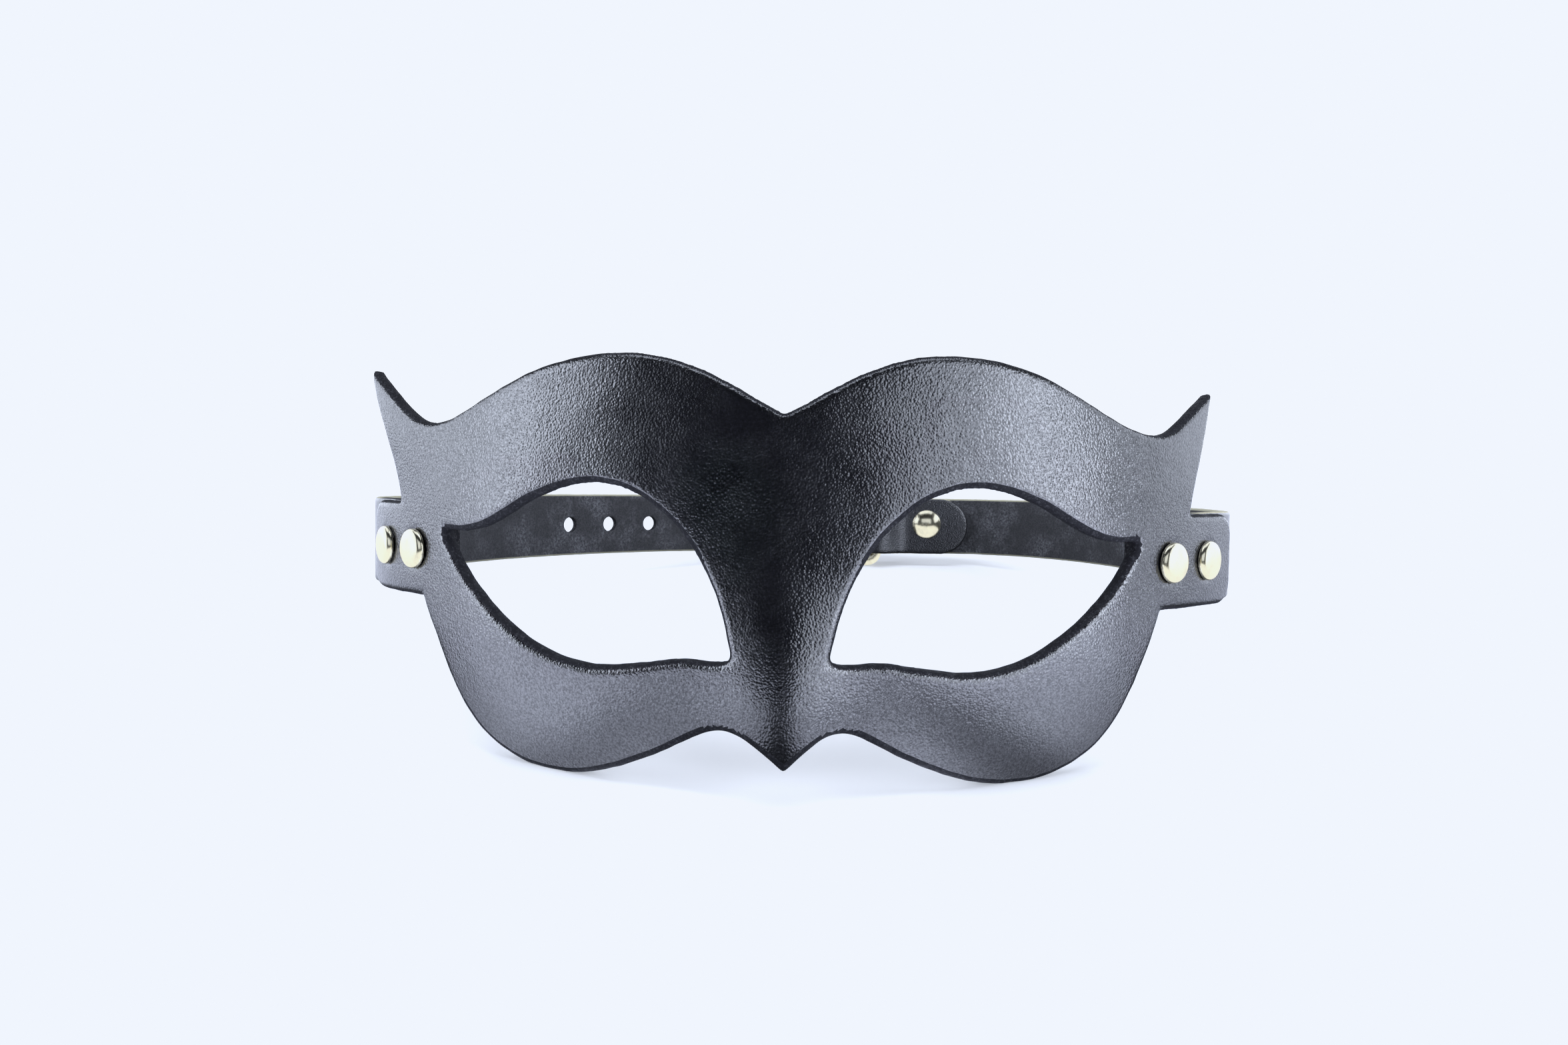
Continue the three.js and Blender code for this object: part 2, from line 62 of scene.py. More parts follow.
FACE_HALF = 97.5
BROW_RISE = 37.2
LOBE_DROP = 41.7
FACE_THICK = 2.8
NOSE_RISE = 7
NOSE_HALF = 11.5
BROW_SET = 1.3
LOBE_SET = 6.7
EYE_ACROSS = 40
EYE_UP = -2.6
EYE_LENGTH = 61.6
EYE_HEIGHT = 33.6
TAB_REACH = 104.5
TAB_HALF = 9.25
TAB_CORNER = 4.5
EAR_FOOT = 87.3
CHEEK_TOP = 78.2
STRAP_WIDE = 19
STRAP_THICK = 2.4
STRAP_START = 73
STRAP_DEPTH = 179
STRAP_HALF_SPAN = 101
RIVET_SPACING = 13
RIVET_INSET = 10.5
RIVET_CAP = 8
RIVET_POST = 3
FOLD_CAP = 9
CAP_RISE = 2.1
TAB_CAP_RISE = 1.5
BUCKLE_RIGHT = 25.5
BUCKLE_LENGTH = 18
BAR_WIDE = 3.2
BAR_THICK = 3
FRAME_EDGE = 4
PRONG_THICK = 2.6
HOLE_WIDE = 4.8
HOLE_PITCH = 15
HOLE_COUNT = 8
PRONG_HOLE_LONG = 10.5
SLOT_LONG = 13
FOLD_RIVET_BACK = 17
FOLD_BACK = 31
TONGUE = 20
GAP = 0.3
LEFT_EAR_OUT = 3.5
RIGHT_EAR_OUT = -0.5
LEFT_EAR_UP = 1.2
RIGHT_EAR_UP = -1.4
TAB_SHIFT = 1.2
LEFT_CHEEK_IN = 0.9
LEFT_BROW_UP = 0.8
LEFT_TAB_IN = 1.6
NOSE_SHIFT = 0.9
NOSE_UP = 0.8

# Steps between the points along outlines and along the straps
RIM_STEP = 0.2
BAND_STEP = 0.5

STRAP_EDGE = STRAP_WIDE / 2
STRAP_INSET = FACE_THICK + GAP + STRAP_THICK / 2
FOLD_RADIUS = BAR_WIDE / 2 + 2 * GAP + STRAP_THICK / 2
BAR_N = -FOLD_RADIUS
LAYER_STEP = STRAP_THICK + GAP
FRAME_HALF = STRAP_WIDE / 2 + FRAME_EDGE + 0.5

# Where the mask's own frame stands in the row frame: it leans back on its lobes
LEAN = math.radians(9.552)
OFFSET = np.array([-1.2207, -86.9089, 43.0303])

# Outline of one half as shares of FACE_HALF across and of BROW_RISE or LOBE_DROP up
BROW = [
    (0.0, 0.705), (0.043, 0.763), (0.092, 0.836), (0.149, 0.909), (0.205, 0.96), (0.262, 0.992),
    (0.318, 1.0), (0.38, 0.991), (0.441, 0.962), (0.503, 0.914), (0.564, 0.845), (0.626, 0.771),
    (0.682, 0.71), (0.733, 0.674), (0.779, 0.666), (0.826, 0.694), (0.877, 0.766), (0.938, 0.868),
    (1.0, 0.957),
]
EAR_SIDE = [(0.974, 0.793), (0.941, 0.591), (0.913, 0.403)]
CHEEK = [
    (0.782, -0.336), (0.759, -0.468), (0.736, -0.6), (0.708, -0.739), (0.669, -0.854), (0.615, -0.935),
    (0.549, -0.986), (0.482, -1.0), (0.421, -0.99), (0.359, -0.957), (0.297, -0.906), (0.236, -0.844),
    (0.179, -0.772), (0.138, -0.724), (0.109, -0.71), (0.078, -0.727), (0.041, -0.791), (0.0, -0.878),
]
# Eye hole, as shares of EYE_LENGTH and EYE_HEIGHT from its middle
EYE = [
    (-0.5, -0.417), (-0.494, -0.28), (-0.468, -0.11), (-0.425, 0.06), (-0.37, 0.214), (-0.304, 0.336),
    (-0.224, 0.435), (-0.138, 0.488), (-0.057, 0.497), (0.032, 0.467), (0.13, 0.405), (0.227, 0.315),
    (0.325, 0.238), (0.422, 0.205), (0.5, 0.205), (0.474, 0.095), (0.406, -0.054), (0.317, -0.196),
    (0.219, -0.324), (0.114, -0.426), (0.008, -0.485), (-0.097, -0.503), (-0.227, -0.476),
    (-0.357, -0.438), (-0.446, -0.438),
]
# Loop of the strap in plan, as shares of STRAP_HALF_SPAN and STRAP_DEPTH
RIGHT_LOOP = [
    (0.95, 0.302), (0.985, 0.369), (1.0, 0.48), (0.995, 0.603), (0.95, 0.743), (0.861, 0.866),
    (0.733, 0.955), (0.594, 1.0),
]
LEFT_LOOP = [
    (-0.94, 0.302), (-0.97, 0.352), (-0.975, 0.436), (-0.941, 0.542), (-0.871, 0.654), (-0.752, 0.763),
    (-0.594, 0.858), (-0.416, 0.933), (-0.218, 0.983),
]


def ease(t):
    c = np.clip(t, 0, 1)
    return c * c * (3 - 2 * c)


def unit(v):
    return v / np.maximum(np.linalg.norm(v, axis=-1, keepdims=True), 1e-12)


def to_row(points):
    """Millimetres in the mask's own frame to metres in the row frame"""
    x, y, z = np.asarray(points, float).T
    cos, sin = math.cos(LEAN), math.sin(LEAN)
    leant = np.stack([x, y * cos + z * sin, z * cos - y * sin], 1)
    return (leant + OFFSET) / 1000


# Form of the face

def ear_share(across, v):
    return ease((across / FACE_HALF - 0.7) / 0.3) * ease((v - TAB_HALF) / (BROW_RISE - TAB_HALF))


def tab_bend(u):
    return LEFT_TAB_IN * (np.maximum(0, -u - CHEEK_TOP) / (TAB_REACH - CHEEK_TOP)) ** 2


def face_form(u, v):
    """Point of the face's outer surface: u is the arc length from the middle, v the height"""
    turn = u / FORM_RADIUS
    above = np.maximum(0, v - STRAP_EDGE) / (BROW_RISE - STRAP_EDGE)
    below = np.maximum(0, -v - STRAP_EDGE) / (LOBE_DROP - STRAP_EDGE)
    back = BROW_SET * above**2 + LOBE_SET * below**2
    down = ease((BROW_RISE * 0.35 - v) / (BROW_RISE * 0.35 + LOBE_DROP))
    ridge = np.exp(-((u / NOSE_HALF) ** 2)) * NOSE_RISE * down
    flare = ear_share(np.abs(u), v) * np.where(u > 0, RIGHT_EAR_OUT, LEFT_EAR_OUT)
    radius = FORM_RADIUS - back + ridge + flare - tab_bend(u)
    return np.stack([radius * np.sin(turn), FORM_RADIUS - radius * np.cos(turn), v + 0 * u], -1)


def face_inward(u, v):
    step = 0.05
    along = face_form(u + step, v) - face_form(u - step, v)
    up = face_form(u, v + step) - face_form(u, v - step)
    return unit(np.cross(up, along))


def face_inside(u, v, depth):
    return face_form(u, v) + face_inward(u, v) * np.asarray(depth)[..., None]


def hand_cut(side, points):
    """Rim points of one side as the mask was cut by hand"""
    u, v = points.T
    lift = ear_share(u, v) * (RIGHT_EAR_UP if side > 0 else LEFT_EAR_UP)
    longer = np.where(v > TAB_HALF, 0, ease((u - EAR_FOOT) / (TAB_REACH - EAR_FOOT)) * side * TAB_SHIFT)
    left = 0 if side > 0 else 1
    narrower = left * LEFT_CHEEK_IN * ease((u / FACE_HALF - 0.45) / 0.25) * ease((-v - TAB_HALF) / TAB_HALF)
    brow = left * (v >= 0) * np.exp(-(((u / FACE_HALF - 0.62) / 0.13) ** 2)) * LEFT_BROW_UP
    tip = np.exp(-((u / NOSE_HALF) ** 2)) * ease((-v / LOBE_DROP - 0.5) / 0.35)
    return np.stack([side * (u + longer - narrower) + tip * NOSE_SHIFT, v + lift + brow + tip * NOSE_UP], 1)


# Curves in a plane

def spline(points, samples, closed=False):
    """Centripetal Catmull-Rom curve, with that many samples on each span"""
    pts = np.asarray(points, float)
    n = len(pts)
    t = np.linspace(0, 1, samples, endpoint=False)[:, None]
    out = []
    for i in range(n if closed else n - 1):
        p1, p2 = pts[i], pts[(i + 1) % n]
        p0 = pts[i - 1] if closed or i else 2 * p1 - p2
        p3 = pts[(i + 2) % n] if closed or i + 2 < n else 2 * p2 - p1
        d0, d1, d2 = (np.hypot(*(b - a)) ** 0.5 for a, b in ((p0, p1), (p1, p2), (p2, p3)))
        m1 = ((p1 - p0) / d0 - (p2 - p0) / (d0 + d1) + (p2 - p1) / d1) * d1
        m2 = ((p2 - p1) / d1 - (p3 - p1) / (d1 + d2) + (p3 - p2) / d2) * d1
        out.append((2 * t**3 - 3 * t**2 + 1) * p1 + (t**3 - 2 * t**2 + t) * m1
                   + (3 * t**2 - 2 * t**3) * p2 + (t**3 - t**2) * m2)
    if not closed:
        out.append(pts[-1:])
    return np.vstack(out)


def lengths_of(line):
    return np.r_[0, np.cumsum(np.hypot(*np.diff(line, axis=0).T))]


def even_loop(line, step, smooth=0):
    """Closed loop resampled to even steps, its corners softened by smoothing passes"""
    ring = np.vstack([line, line[:1]])
    at = lengths_of(ring)
    count = int(round(at[-1] / step))
    new = np.arange(count) * at[-1] / count
    loop = np.stack([np.interp(new, at, ring[:, k]) for k in (0, 1)], 1)
    for _ in range(smooth):
        loop = (np.roll(loop, 1, 0) + 2 * loop + np.roll(loop, -1, 0)) / 4
    return loop


def arc(centre, radius, start, end, steps):
    a = np.radians(np.linspace(start, end, steps))
    return np.stack([centre[0] + radius * np.cos(a), centre[1] + radius * np.sin(a)], 1)


def oval(centre, long, wide):
    """Straight-sided oval hole, long along the first axis"""
    shift = (long - wide) / 2
    right = arc((centre[0] + shift, centre[1]), wide / 2, -90, 90, 25)
    left = arc((centre[0] - shift, centre[1]), wide / 2, 90, 270, 25)
    return np.vstack([right, left[(0 if shift else 1):(None if shift else -1)]])


def scale_rows(rows):
    return np.array([(a * FACE_HALF, b * (LOBE_DROP if b < 0 else BROW_RISE)) for a, b in rows])


def face_rim():
    """Whole outline of the face, clockwise from the notch"""
    ear_foot = np.array([[EAR_FOOT, TAB_HALF]])
    brow = spline(scale_rows(BROW), 10)
    ear = spline(np.vstack([scale_rows(BROW[-1:]), scale_rows(EAR_SIDE), ear_foot]), 10)
    straight = TAB_REACH - TAB_CORNER
    corner = TAB_HALF - TAB_CORNER
    tab = np.vstack([
        ear_foot,
        arc((straight, corner), TAB_CORNER, 90, 0, 16),
        arc((straight, -corner), TAB_CORNER, 0, -90, 16),
        [[CHEEK_TOP, -TAB_HALF]],
    ])
    cheek = spline(np.vstack([[[CHEEK_TOP, -TAB_HALF]], scale_rows(CHEEK)]), 10)
    half = np.vstack([brow[:-1], ear[:-1], tab[:-1], cheek])
    steps = lengths_of(half)
    fine = np.arange(0, steps[-1], RIM_STEP)
    half = np.stack([np.interp(fine, steps, half[:, k]) for k in (0, 1)], 1)
    right, left = hand_cut(1, half), hand_cut(-1, half)
    return np.vstack([right, left[::-1][:-1]])


def wobble(loop, size, wave, seed):
    """Loop with the small unevenness of a cut made by hand"""
    shift = [size * noise.noise(Vector((x / wave, y / wave, seed))) for x, y in loop]
    return loop + left_normals(loop) * np.array(shift)[:, None]


def left_normals(loop):
    along = unit(np.roll(loop, -1, 0) - np.roll(loop, 1, 0))
    return np.stack([-along[:, 1], along[:, 0]], 1)


def area(loop):
    nxt = np.roll(loop, -1, 0)
    return float((loop[:, 0] * nxt[:, 1] - nxt[:, 0] * loop[:, 1]).sum() / 2)


class Border:
    """Outline and holes of a flat sheet, with the sheet always to the left of each loop"""

    def __init__(self, outer, holes):
        self.loops = [outer if area(outer) > 0 else outer[::-1]]
        self.loops += [h if area(h) < 0 else h[::-1] for h in holes]
        self.points = np.vstack(self.loops)
        self.normals = np.vstack([left_normals(loop) for loop in self.loops])
        self.starts = np.cumsum([0] + [len(loop) for loop in self.loops])
        self.after = np.concatenate([
            start + (np.arange(len(loop)) + 1) % len(loop) for start, loop in zip(self.starts, self.loops)
        ])
        self.before = np.argsort(self.after)
        self.tree = kdtree.KDTree(len(self.points))
        for i, (x, y) in enumerate(self.points):
            self.tree.insert((x, y, 0), i)
        self.tree.balance()

    def distance(self, points):
        """Distance inwards from the nearest edge, below zero outside the sheet"""
        near = np.array([self.tree.find((x, y, 0))[1] for x, y in points])
        best = np.full(len(points), 1e9)
        for other in (self.after[near], self.before[near]):
            a, b = self.points[near], self.points[other]
            t = np.clip(((points - a) * (b - a)).sum(1) / ((b - a) ** 2).sum(1), 0, 1)
            best = np.minimum(best, np.linalg.norm(points - a - t[:, None] * (b - a), axis=1))
        side = ((points - self.points[near]) * self.normals[near]).sum(1)
        return np.where(side < 0, -best, best)

    def layer(self, insets, spacing):
        """Triangles over the sheet: rows of points along each edge, then an even field"""
        rows = [self.points]
        for k, inset in enumerate(insets):
            line = (self.points + self.normals * inset)[:: 1 + (k > 2)]
            rows.append(line[self.distance(line) > inset * 0.96])
        low, high = self.points.min(0), self.points.max(0)
        down = spacing * math.sqrt(3) / 2
        field = []
        for k, y in enumerate(np.arange(low[1], high[1], down)):
            xs = np.arange(low[0] + spacing / 2 * (k % 2), high[0], spacing)
            field.append(np.stack([xs, np.full(len(xs), y)], 1))
        field = np.vstack(field)
        rows.append(field[self.distance(field) > insets[-1] + spacing * 0.55])
        points = np.vstack(rows)
        edges = [(i, int(j)) for i, j in enumerate(self.after)]
        made = delaunay_2d_cdt([Vector(p) for p in points], edges, [], 0, 1e-6)
        verts = np.array([tuple(v) for v in made[0]])
        where = {old: new for new, olds in enumerate(made[3]) for old in olds}
        border = np.array([where[i] for i in range(len(self.points))])
        faces = np.array(made[2])
        faces = faces[self.distance(verts[faces].mean(1)) > 0]
        distance = np.maximum(self.distance(verts), 0)
        distance[border] = 0
        return verts, distance, faces, border


def rounding(distance, reach, drop):
    """How deep a rounded edge lies below its face"""
    return drop * (1 - np.clip(distance / reach, 0, 1)) ** 2.4


def relief(points, waves):
    """Small uneven heights: each wave is (length, height, seed)"""
    total = np.zeros(len(points))
    for wave, height, seed in waves:
        total += [height * noise.noise(Vector((x / wave, y / wave, seed))) for x, y in points]
    return total


def make_piece(name, points, faces, material, replaced, attributes=(), cut=None, cut_faces=None):
    """Mesh object in the row frame, riding on the one body. cut is the look of the faces in cut_faces."""
    row = to_row(points)
    row[:, 2] = np.maximum(row[:, 2], 0)
    mesh = bpy.data.meshes.new(name)
    mesh.from_pydata(row.tolist(), [], [tuple(int(i) for i in f) for f in faces])
    for label, values in dict(attributes).items():
        layer = mesh.attributes.new(label, "FLOAT", "POINT")
        layer.data.foreach_set("value", np.asarray(values, np.float32))
    work = bmesh.new()
    work.from_mesh(mesh)
    bmesh.ops.recalc_face_normals(work, faces=work.faces)
    work.to_mesh(mesh)
    work.free()
    mesh.shade_smooth()
    piece = bpy.data.objects.new(name, mesh)
    bpy.context.scene.collection.objects.link(piece)
    mesh.materials.append(material)
    if cut:
        mesh.materials.append(cut)
        mesh.polygons.foreach_set("material_index", cut_faces.astype(np.int32))
    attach(piece, "root")
    if replaced:
        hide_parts(*replaced)
    return piece


def leather_sheet(
    name, border, place, thick, fine, grain, flesh, rough, material, cut, node, band, pale, press=None,
):
    """Closed sheet of leather. grain and flesh are (reach, drop, waves) of the two faces' edges. band is
    how far the cut's look reaches onto the grain face, in places as painted shade, pale the share of
    undyed leather in the cut."""
    front = border.layer([0.12, 0.32, 0.6, 0.95, 1.4], fine)
    back = border.layer([0.15, 0.45, 0.95], fine * 1.7)
    pressed = press(front[0]) if press else 0
    front_depth = rounding(front[1], *grain[:2]) + relief(front[0], grain[2]) * ease(front[1] / 1.5) + pressed
    back_depth = thick - rounding(back[1], *flesh[:2]) - relief(back[0], flesh[2]) * ease(back[1] / 1.5)
    parts = [place(front[0], front_depth), place(back[0], back_depth)]
    undyed = [pale(front[0]), pale(back[0])]
    side = [np.zeros(len(front[0])), np.ones(len(back[0]))]
    edge = [front[1], back[1]]
    faces = [front[2], back[2][:, ::-1] + len(front[0])]
    count = len(front[0]) + len(back[0])
    quads = []
    levels = 4
    for start, end in zip(border.starts[:-1], border.starts[1:]):
        ids = np.arange(start, end)
        rows = [front[3][ids]]
        line = border.points[ids]
        out = -border.normals[ids]
        for k in range(1, levels):
            share = k / levels
            top, low = front_depth[front[3][ids]], back_depth[back[3][ids]]
            fuzz = [noise.noise(Vector((x * 2.1, y * 2.1, k * 3.7))) for x, y in line]
            bulge = math.sin(math.pi * share) * rough[0] + rough[1] * np.array(fuzz)
            parts.append(place(line + out * bulge[:, None], top + (low - top) * share))
            rows.append(count + np.arange(len(ids)))
            count += len(ids)
            undyed.append(pale(line))
            side.append(np.full(len(ids), share))
            edge.append(np.zeros(len(ids)))
        rows.append(back[3][ids] + len(front[0]))
        for a, b in zip(rows[:-1], rows[1:]):
            quads.append(np.stack([a, b, np.roll(b, -1), np.roll(a, -1)], 1))
    attributes = {"flesh": side, "edge": edge, "undyed": undyed}
    attributes = {label: np.concatenate(values) for label, values in attributes.items()}
    middles = front[0][front[2]].mean(1)
    on_front = front[1][front[2]].mean(1) < band(middles)
    on_sides = np.ones(sum(len(q) for q in quads), bool)
    cut_faces = np.concatenate([on_front, np.zeros(len(back[2]), bool), on_sides])
    every = [f for group in faces + quads for f in group.tolist()]
    return make_piece(name, np.vstack(parts), every, material, (node,), attributes, cut, cut_faces)


# Materials

def node_material(name):
    material = bpy.data.materials.new(name)
    material.use_nodes = True
    nodes = material.node_tree.nodes
    nodes.clear()
    shader = nodes.new("ShaderNodeBsdfPrincipled")
    out = nodes.new("ShaderNodeOutputMaterial")
    material.node_tree.links.new(shader.outputs[0], out.inputs[0])
    return material, shader


class Graph:
    """Short ways to add nodes to a material"""

    def __init__(self, material):
        self.tree = material.node_tree
        self.coords = self.add("ShaderNodeTexCoord").outputs["Object"]

    def add(self, kind, **settings):
        node = self.tree.nodes.new(kind)
        for key, value in settings.items():
            setattr(node, key, value)
        return node

    def set(self, socket, value):
        if isinstance(value, bpy.types.NodeSocket):
            self.tree.links.new(value, socket)
        else:
            socket.default_value = value

    def noise(self, size, detail=2.0, rough=0.5, stretch=None):
        """Noise whose features are about that many metres"""
        node = self.add("ShaderNodeTexNoise")
        self.set(node.inputs["Vector"], self.stretched(stretch) if stretch else self.coords)
        node.inputs["Scale"].default_value = 1 / size
        node.inputs["Detail"].default_value = detail
        node.inputs["Roughness"].default_value = rough
        return node.outputs["Fac"]

    def stretched(self, scale):
        node = self.add("ShaderNodeMapping")
        self.set(node.inputs["Vector"], self.coords)
        node.inputs["Scale"].default_value = scale
        return node.outputs["Vector"]

    def cells(self, size, smooth=0.4):
        node = self.add("ShaderNodeTexVoronoi", feature="SMOOTH_F1")
        self.set(node.inputs["Vector"], self.coords)
        node.inputs["Scale"].default_value = 1 / size
        node.inputs["Smoothness"].default_value = smooth
        return node.outputs["Distance"]

    def value(self, label):
        return self.add("ShaderNodeAttribute", attribute_name=label).outputs["Fac"]

    def math(self, operation, a, b=0.0, c=None):
        node = self.add("ShaderNodeMath", operation=operation)
        self.set(node.inputs[0], a)
        self.set(node.inputs[1], b)
        if c is not None:
            self.set(node.inputs[2], c)
        return node.outputs[0]

    def spread(self, value, low, high, to_low=0.0, to_high=1.0):
        node = self.add("ShaderNodeMapRange", interpolation_type="SMOOTHSTEP")
        for socket, v in zip(node.inputs[:5], (value, low, high, to_low, to_high)):
            self.set(socket, v)
        return node.outputs["Result"]

    def mix(self, share, a, b):
        node = self.add("ShaderNodeMix", data_type="RGBA")
        self.set(node.inputs["Factor"], share)
        self.set(node.inputs[6], a)
        self.set(node.inputs[7], b)
        return node.outputs[2]

    def blend(self, share, a, b):
        node = self.add("ShaderNodeMix", data_type="FLOAT")
        self.set(node.inputs["Factor"], share)
        self.set(node.inputs[2], a)
        self.set(node.inputs[3], b)
        return node.outputs[0]

    def bump(self, height, distance, strength=1.0):
        node = self.add("ShaderNodeBump")
        self.set(node.inputs["Height"], height)
        node.inputs["Distance"].default_value = distance
        node.inputs["Strength"].default_value = strength
        return node.outputs["Normal"]


def shade(color, share):
    return tuple(c * share for c in color[:3]) + (1,)


def leather_material(name, grain_color, grain_rough, pebble, flesh_color, smudge_color, undyed):
    material, shader = node_material(name)
    g = Graph(material)
    flesh = g.spread(g.value("flesh"), 0.35, 0.75)
    near_edge = g.spread(g.value("edge"), 0.5, 2.0, 1.0, 0.0)

    broad = g.noise(0.018, 3)
    grain = g.mix(g.spread(broad, 0.3, 0.75), grain_color, shade(grain_color, 1.5))
    # Painted glints: pebble-sized specks of lighter base colour stand in for highlights on the grain
    painted_glints = g.spread(g.noise(pebble * 0.9, 2, 0.6), 0.5, 0.68)
    grain = g.mix(painted_glints, grain, shade(grain_color, 3))
    grain = g.mix(g.math("MULTIPLY", near_edge, 0.6), grain, shade(grain_color, 0.55))
    smudges = g.spread(g.noise(0.011, 4, 0.6), 0.42, 0.7)
    fibre = g.noise(0.0007, 4, 0.7)
    suede = g.mix(smudges, flesh_color, smudge_color)
    suede = g.mix(g.spread(fibre, 0.35, 0.7), shade(flesh_color, 0.6), suede)
    rim = g.math("MULTIPLY", g.spread(g.value("edge"), 0.25, 0.6, 1.0, 0.0), g.value("undyed"))
    suede = g.mix(rim, suede, undyed)
    g.set(shader.inputs["Base Color"], g.mix(flesh, grain, suede))

    rough = g.spread(g.noise(0.006, 3), 0.3, 0.7, grain_rough - 0.03, grain_rough + 0.03)
    g.set(shader.inputs["Roughness"], g.blend(flesh, rough, 0.9))

    pebbles = g.math("MULTIPLY", g.cells(pebble), -1.0)
    pebbles = g.math("ADD", pebbles, g.math("MULTIPLY", g.noise(pebble * 1.4, 2, 0.5), 0.55))
    fluff = g.math("ADD", g.noise(0.0011, 4, 0.75), g.noise(0.004, 2))
    height = g.blend(flesh, pebbles, g.math("MULTIPLY", fluff, 1.2))
    g.set(shader.inputs["Normal"], g.bump(height, 0.00009, 0.7))
    g.set(shader.inputs["Specular IOR Level"], g.spread(g.noise(pebble, 2, 0.6), 0.3, 0.7, 0.3, 0.6))
    return material


def cut_material(name, dark, speck, undyed):
    """Look of a cut edge: dark burnished fibres with paler specks, and undyed leather where it shows"""
    material, shader = node_material(name)
    g = Graph(material)
    fibre = g.spread(g.noise(0.0005, 3, 0.65), 0.5, 0.72)
    burnished = g.mix(fibre, dark, speck)
    bare = g.mix(g.noise(0.003, 3), undyed, shade(undyed, 0.6))
    g.set(shader.inputs["Base Color"], g.mix(g.value("undyed"), burnished, bare))
    g.set(shader.inputs["Roughness"], g.spread(g.noise(0.0015, 3), 0.3, 0.7, 0.7, 0.95))
    g.set(shader.inputs["Normal"], g.bump(g.noise(0.00055, 4, 0.7), 0.0002, 0.8))
    shader.inputs["Specular IOR Level"].default_value = 0.08
    return material


def brass_material(name, color, roughness, marks):
    material, shader = node_material(name)
    g = Graph(material)
    tarnish = g.spread(g.noise(0.0035, 4, 0.6), 0.42, 0.8)
    g.set(shader.inputs["Base Color"], g.mix(tarnish, color, shade(color, 0.82)))
    scratches = g.noise(0.0004, 2, 0.5, (1.0, 1.0, 6.0))
    g.set(shader.inputs["Roughness"], g.spread(scratches, 0.3, 0.7, roughness * 0.8, roughness * 1.3))
    height = g.math("ADD", g.noise(0.0022, 2), g.math("MULTIPLY", scratches, 0.15))
    g.set(shader.inputs["Normal"], g.bump(height, marks, 0.5))
    shader.inputs["Metallic"].default_value = 1.0
    return material


face_leather = leather_material(
    "face_leather", grain_color=(0.0012, 0.0012, 0.0015, 1), grain_rough=0.225, pebble=0.00042,
    flesh_color=(0.024, 0.024, 0.026, 1), smudge_color=(0.045, 0.045, 0.049, 1),
    undyed=(0.03, 0.03, 0.03, 1),
)
strap_leather = leather_material(
    "strap_leather", grain_color=(0.005, 0.005, 0.0057, 1), grain_rough=0.3, pebble=0.0004,
    flesh_color=(0.013, 0.013, 0.0145, 1), smudge_color=(0.065, 0.065, 0.07, 1),
    undyed=(0.2, 0.19, 0.13, 1),
)
face_cut = cut_material(
    "face_cut", dark=(0.004, 0.004, 0.005, 1), speck=(0.018, 0.018, 0.02, 1), undyed=(0.05, 0.045, 0.035, 1),
)
strap_cut = cut_material(
    "strap_cut", dark=(0.006, 0.006, 0.007, 1), speck=(0.035, 0.034, 0.034, 1), undyed=(0.27, 0.25, 0.17, 1),
)
brass = brass_material("pale_brass", color=(0.93, 0.86, 0.63, 1), roughness=0.2, marks=0.00002)


# Face

eyes = [
    np.array([(s * (EYE_ACROSS + a * EYE_LENGTH), EYE_UP + b * EYE_HEIGHT) for a, b in
              spline(EYE, 12, closed=True)])
    for s in (1, -1)
]
rivet_arcs = [side * (TAB_REACH - RIVET_INSET - k * RIVET_SPACING) for side in (-1, 1) for k in (0, 1)]
post_wide = RIVET_POST + 0.2


def press_rivets(points):
    """How far the rivet caps press the leather in around them"""
    total = np.zeros(len(points))
    for u in rivet_arcs:
        away = np.hypot(points[:, 0] - u, points[:, 1])
        total += 0.28 * ease(1 - (away - RIVET_CAP / 2 + 0.6) / 1.5)
    return total


def cut_and_shade_band(points):
    """How far the cut's dark look reaches onto the front: further over the eyes, and under the cheeks as
    painted shade
    """
    u, v = points.T
    over = ease((v - EYE_UP) / 6) * ease((EYE_UP + EYE_HEIGHT / 2 + 3 - v) / 2)
    over = over * ease((EYE_ACROSS + EYE_LENGTH / 2 + 4 - np.abs(u)) / 4)
    # Painted shade: the dark look widens along the cheeks' lower edges, which face down
    under = ease((-v - 24) / 6)
    return 0.42 + 0.6 * over + 0.9 * under


face_border = Border(
    wobble(even_loop(face_rim(), 0.42, 2), 0.09, 2.6, 1.5),
    [wobble(even_loop(eye, 0.42, 1), 0.1, 2.2, 4.5) for eye in eyes]
    + [even_loop(oval((u, 0), post_wide, post_wide), 0.5) for u in rivet_arcs],
)
leather_sheet(
    "face_leather_sheet", face_border, lambda p, depth: face_inside(p[:, 0], p[:, 1], depth), FACE_THICK,
    fine=0.8, grain=(1.35, 0.75, [(14, 0.2, 0.3), (5, 0.05, 5.1), (2.4, 0.012, 9.7)]),
    flesh=(0.9, 0.35, [(6, 0.1, 2.2), (2, 0.05, 7.7)]), rough=(0.12, 0.13), material=face_leather,
    cut=face_cut, node="mask_face", band=cut_and_shade_band, pale=lambda p: np.zeros(len(p)), press=press_rivets,
)


# Straps

def at_buckle(s, n):
    return np.array([BUCKLE_RIGHT - s, STRAP_DEPTH + n])


def tab_arc(side):
    u = side * np.linspace(STRAP_START, TAB_REACH, 7)
    return face_inside(u, 0 * u, np.full(len(u), STRAP_INSET))[:, :2]


def loop_points(table):
    return np.array([(a * STRAP_HALF_SPAN, b * STRAP_DEPTH) for a, b in table])


